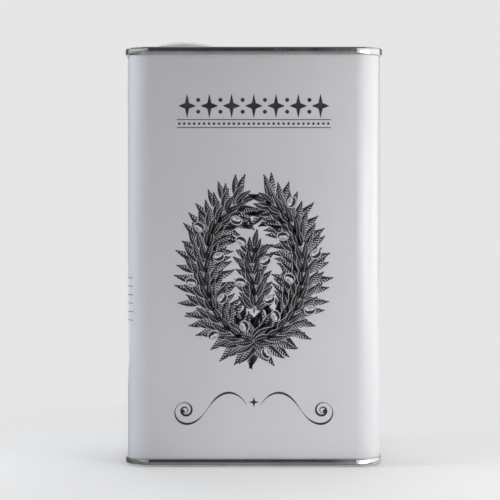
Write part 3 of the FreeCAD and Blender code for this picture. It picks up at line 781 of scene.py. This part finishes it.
def flourish(ink):
    star(ink, (0, 0), FLOURISH_STAR, FLOURISH_STAR)
    scroll = scroll_path()
    swells = [math.sin(turn) ** 2 for turn in steps(0, math.pi * SCROLL_SWELLS, SCROLL_STEPS)]
    widths = [SCROLL_THIN + (SCROLL_THICK - SCROLL_THIN) * swell for swell in swells]
    for side in (1, -1):
        path = [(side * u, v) for u, v in scroll]
        ink.stroke(path, widths)
        ink.dot(path[-1], BEAD_RADIUS)


# Blank ruled table on the left-hand side, and above it plain rules that run round on to the front corner.
TABLE_MIDDLE = -(FRONT_FLAT / 2 + CORNER_ARC + SIDE_FLAT / 2)
TABLE_HALF_WIDTH = 0.0155
TABLE_FOOT = 0.0180
TABLE_ROW = 0.0062
TABLE_ROWS = 6
TABLE_RULE = 0.0003
TABLE_COLUMN_SHARE = 0.25
RULES_CORNER_SHARE = 0.55
RULES_END = -(FRONT_FLAT / 2 + RULES_CORNER_SHARE * CORNER_ARC)
RULES_TOP = 0.0800
RULES_PITCH = 0.0036
RULES_COUNT = 6


def side_rules(ink):
    left, right = TABLE_MIDDLE - TABLE_HALF_WIDTH, TABLE_MIDDLE + TABLE_HALF_WIDTH
    top = TABLE_FOOT + TABLE_ROW * TABLE_ROWS
    for v in steps(TABLE_FOOT, top, TABLE_ROWS):
        ink.line((left, v), (right, v), TABLE_RULE)
    column = TABLE_MIDDLE + TABLE_HALF_WIDTH * TABLE_COLUMN_SHARE
    for u in (left, column, right):
        ink.line((u, TABLE_FOOT), (u, top), TABLE_RULE)
    for i in range(RULES_COUNT):
        v = RULES_TOP - RULES_PITCH * i
        ink.line((left, v), (RULES_END, v), TABLE_RULE)


def print_panels():
    """The printed pieces of the front, the back and the left-hand side."""
    ink_finish, ground_finish = printing_ink(), white_ground()
    for panel, along in (("front", 0.0), ("back", GIRTH / 2)):
        ink, ground = Ink(along, WREATH_HEIGHT), Ink(along, WREATH_HEIGHT)
        wreath(ink, ground)
        ink.piece(f"{panel}_wreath", ink_finish)
        ground.piece(f"{panel}_wreath_ground", ground_finish)
        for part, height, draw in (
            ("frieze", FRIEZE_HEIGHT, frieze),
            ("flourish", FLOURISH_HEIGHT, flourish),
        ):
            ink = Ink(along, height)
            draw(ink)
            ink.piece(f"{panel}_{part}", ink_finish)
    ink = Ink()
    side_rules(ink)
    ink.piece("side_rules", ink_finish)


# Stage: a pale floor that fades into the backdrop.
BACKDROP = (0.79, 0.79, 0.79)
AMBIENT_SHARE = 0.05
FLOOR_COLOUR = (0.88, 0.88, 0.88)
FLOOR_DULL_SHARE = 0.985
FLOOR_GRAIN = (300, 3)
FLOOR_ROUGHNESS = 0.9
FLOOR_SPECULAR = 0.1
FLOOR_HALF = 6.0
FLOOR_DROP = 0.00002
FADE_LEAST_SHARE = 0.2
FADE_FROM = 0.075
FADE_TO = 0.21


def make_world():
    world = bpy.data.worlds.new("studio")
    bpy.context.scene.world = world
    world.use_nodes = True
    net = Net(world.node_tree)
    ambient = tuple(c * AMBIENT_SHARE for c in BACKDROP)
    net.feed(net.nodes["Background"].inputs["Color"], net.blend(net.seen_rays(), ambient, BACKDROP))


def make_floor():
    finish = Finish("floor_finish")
    place = finish.coords()
    dull = tuple(c * FLOOR_DULL_SHARE for c in FLOOR_COLOUR)
    finish.set("Base Color", finish.blend(finish.noise(place, *FLOOR_GRAIN), FLOOR_COLOUR, dull))
    finish.set("Roughness", FLOOR_ROUGHNESS)
    finish.set("Specular IOR Level", FLOOR_SPECULAR)
    distance = finish.add("ShaderNodeVectorMath", {0: place}, operation="LENGTH").outputs["Value"]
    fade = finish.span(distance, FADE_FROM, FADE_TO, FADE_LEAST_SHARE, 1)
    shown = finish.calc("MULTIPLY", fade, finish.seen_rays())
    mix = {"Fac": shown, 1: finish.shader.outputs["BSDF"], 2: finish.emission(BACKDROP)}
    finish.feed(finish.surface, finish.add("ShaderNodeMixShader", mix).outputs["Shader"])
    corners = ((-1, -1), (1, -1), (1, 1), (-1, 1))
    points = [(x * FLOOR_HALF, y * FLOOR_HALF, -FLOOR_DROP) for x, y in corners]
    floor = mesh_object("floor", points, [(0, 1, 2, 3)], finish.material)
    floor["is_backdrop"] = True


# Cards that only gloss mirrors, in the tinplate and faintly in the lacquer's coat.
# Each has its foot's middle, a tilt and a turn, a half width, and its tones from the foot up
# as pairs of a height and a tone. The last height is the card's own.
CARDS = {
    "front_card": (
        (-0.115, -1.25, 0),
        (0, 0, 0),
        0.265,
        (
            (0, 0.30), (0.05, 0.24), (0.13, 0.12), (0.20, 0.05),
            (0.30, 0.03), (0.70, 0.03), (0.85, 0.22), (1.2, 0.22),
        ),
    ),
    "front_left_card": (
        (-0.62, -1.27, 0),
        (0, 0, 0),
        0.24,
        ((0, 0.22), (0.15, 0.26), (0.30, 0.45), (1.0, 0.45)),
    ),
    "front_canopy": (
        (0, -1.25, 1.2),
        (math.radians(-75), 0, 0),
        0.9,
        ((0, 0.05), (1.2, 0.05)),
    ),
    "rear_canopy": (
        (0, -0.09, 1.51),
        (math.radians(-90), 0, 0),
        1.2,
        ((0, 0.25), (0.35, 0.35), (0.55, 0.55), (1.6, 0.70)),
    ),
    "left_card": (
        (-0.85, -0.45, 0),
        (0, 0, -math.pi / 2),
        0.88,
        ((0, 0.18), (0.12, 0.18), (0.20, 0.62), (0.45, 0.62), (0.50, 0.05), (1.0, 0.05)),
    ),
    "left_rear_card": (
        (-0.85, 1.2, 0),
        (0, 0, -math.pi / 2),
        0.77,
        ((0, 0.15), (0.6, 0.10)),
    ),
    "right_front_card": (
        (0.70, -0.85, 0),
        (0, 0, math.pi / 2),
        0.45,
        ((0, 3.2), (0.13, 3.2), (0.19, 1.25), (0.30, 1.25), (0.40, 0.7), (0.7, 0.7)),
    ),
    "right_card": (
        (0.70, 0.02, 0),
        (0, 0, math.pi / 2),
        0.42,
        ((0, 1.3), (0.19, 1.25), (0.30, 1.25), (0.40, 0.7), (0.7, 0.7)),
    ),
    "front_right_card": (
        (0.55, -1.27, 0),
        (0, 0, 0),
        0.15,
        ((0, 2.8), (0.13, 2.8), (0.19, 1.15), (0.7, 1.15)),
    ),
    "right_rear_card": (
        (0.70, 1.2, 0),
        (0, 0, math.pi / 2),
        0.76,
        ((0, 0.30), (0.6, 0.20)),
    ),
    # Painted shadow: a dark card on the floor in front of the tin, darkest at its foot, so that the seams
    # mirror the tin's contact shade on the floor.
    "front_floor_painted_shadow_card": (
        (0, -0.031, 0.0003),
        (math.pi / 2, 0, 0),
        0.6,
        ((0, 0.20), (0.1, 0.25), (0.5, 0.38), (0.7, 0.38), (1.2, 0.30)),
    ),
    # Painted shadow: a dark card on the floor beside the left side, so that the seams mirror the shade that
    # the tin casts to the left.
    "left_floor_painted_shadow_card": (
        (-0.056, 0, 0.0003),
        (math.pi / 2, 0, -math.pi / 2),
        0.3,
        ((0, 0.10), (0.8, 0.14)),
    ),
}


def mirror_card(name, place, turns, half_width, tones):
    """A card to be mirrored, with its tones blended from one height to the next."""
    height = tones[-1][0]
    finish = Finish(f"{name}_finish")
    level = finish.span(finish.axis(finish.coords(), "Z"), 0, height)
    ramp = finish.add("ShaderNodeValToRGB", {"Fac": level})
    stops = ramp.color_ramp.elements
    while len(stops) < len(tones):
        stops.new(1)
    for stop, (level_at, tone) in zip(stops, tones):
        stop.position = level_at / height
        stop.color = (tone, tone, tone, 1)
    finish.feed(finish.surface, finish.emission(ramp.outputs["Color"]))
    corners = ((-1, 0), (1, 0), (1, 1), (-1, 1))
    points = [(x * half_width, 0, z * height) for x, z in corners]
    card = mesh_object(name, points, [(0, 1, 2, 3)], finish.material)
    card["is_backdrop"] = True
    card.location = place
    card.rotation_euler = turns
    card.visible_camera = False
    card.visible_diffuse = False
    card.visible_shadow = False


# Lamps, which gloss doesn't mirror. Each has its place, its aim, its size, its power and its colour.
MIDDLE = (0, 0, RIM / 2)
NEUTRAL = (1, 1, 1)
WARM = (1, 0.99, 0.97)
COOL = (0.88, 0.93, 1)
LAMPS = {
    "right_softbox": ((0.20, -0.22, 0.18), MIDDLE, (0.10, 0.36), 0.195, WARM),
    "right_strip": ((0.18, -0.13, 0.09), MIDDLE, (0.09, 0.30), 0.17, WARM),
    "right_wall": ((0.62, -0.10, 0.36), MIDDLE, (0.8, 0.9), 0.95, NEUTRAL),
    "right_low": ((0.50, -0.02, 0.20), MIDDLE, (0.3, 0.4), 0.48, NEUTRAL),
    "left_softbox": ((-0.30, -0.055, 0.16), MIDDLE, (0.10, 0.4), 0.66, COOL),
    "front_overhead": ((0.1, -0.15, 1.0), (0, 0, RIM), (1.2, 0.5), 0.4, NEUTRAL),
    "floor_bounce": ((0.035, -0.06, 0.001), (0.035, -0.06, 1), (0.13, 0.05), 0.0072, NEUTRAL),
    "overhead": ((-0.03, 0.05, 0.60), (-0.03, 0, RIM), (0.3, 0.3), 1.15, NEUTRAL),
    "rear_overhead": ((0.1, 0.7, 1.1), (0, 0, 0), (2.2, 1.2), 2.0, NEUTRAL),
    "rear_wall": ((0.1, 0.8, 0.45), MIDDLE, (1.4, 0.8), 3.0, NEUTRAL),
}


def area_light(name, place, aim, size, power, colour):
    light = bpy.data.lights.new(name, "AREA")
    light.shape = "RECTANGLE"
    light.size, light.size_y = size
    light.energy = power
    light.color = colour
    lamp = add_object(name, light)
    lamp.location = place
    lamp.rotation_euler = (Vector(aim) - Vector(place)).to_track_quat("-Z", "Y").to_euler()
    lamp.visible_camera = False
    lamp.visible_glossy = False


# Camera at the photograph's viewpoint: a long lens, a little above the tin's middle.
# The lens and the sensor are in millimetres, and the shifts are shares of the picture's width.
CAMERA_PLACE = (0, -0.75, 0.118)
CAMERA_PITCH = math.radians(1.245)
CAMERA_LENS = 122.6
CAMERA_SENSOR = 36
CAMERA_SHIFT_SHARES = (-0.0076, -0.0486)


def make_camera():
    data = bpy.data.cameras.new("camera")
    data.lens = CAMERA_LENS
    data.sensor_width = CAMERA_SENSOR
    data.shift_x, data.shift_y = CAMERA_SHIFT_SHARES
    camera = add_object("camera", data)
    camera.location = CAMERA_PLACE
    camera.rotation_euler = (math.pi / 2 - CAMERA_PITCH, 0, 0)
    bpy.context.scene.camera = camera


bpy.context.scene.view_settings.view_transform = "Standard"
dress_nodes()
print_panels()
make_world()
make_floor()
for card_name, card_values in CARDS.items():
    mirror_card(card_name, *card_values)
for lamp_name, lamp_values in LAMPS.items():
    area_light(lamp_name, *lamp_values)
make_camera()

boxes = {"cad": cad_box, "visual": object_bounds()}
{name: [list(corner) for corner in box] for name, box in boxes.items()}
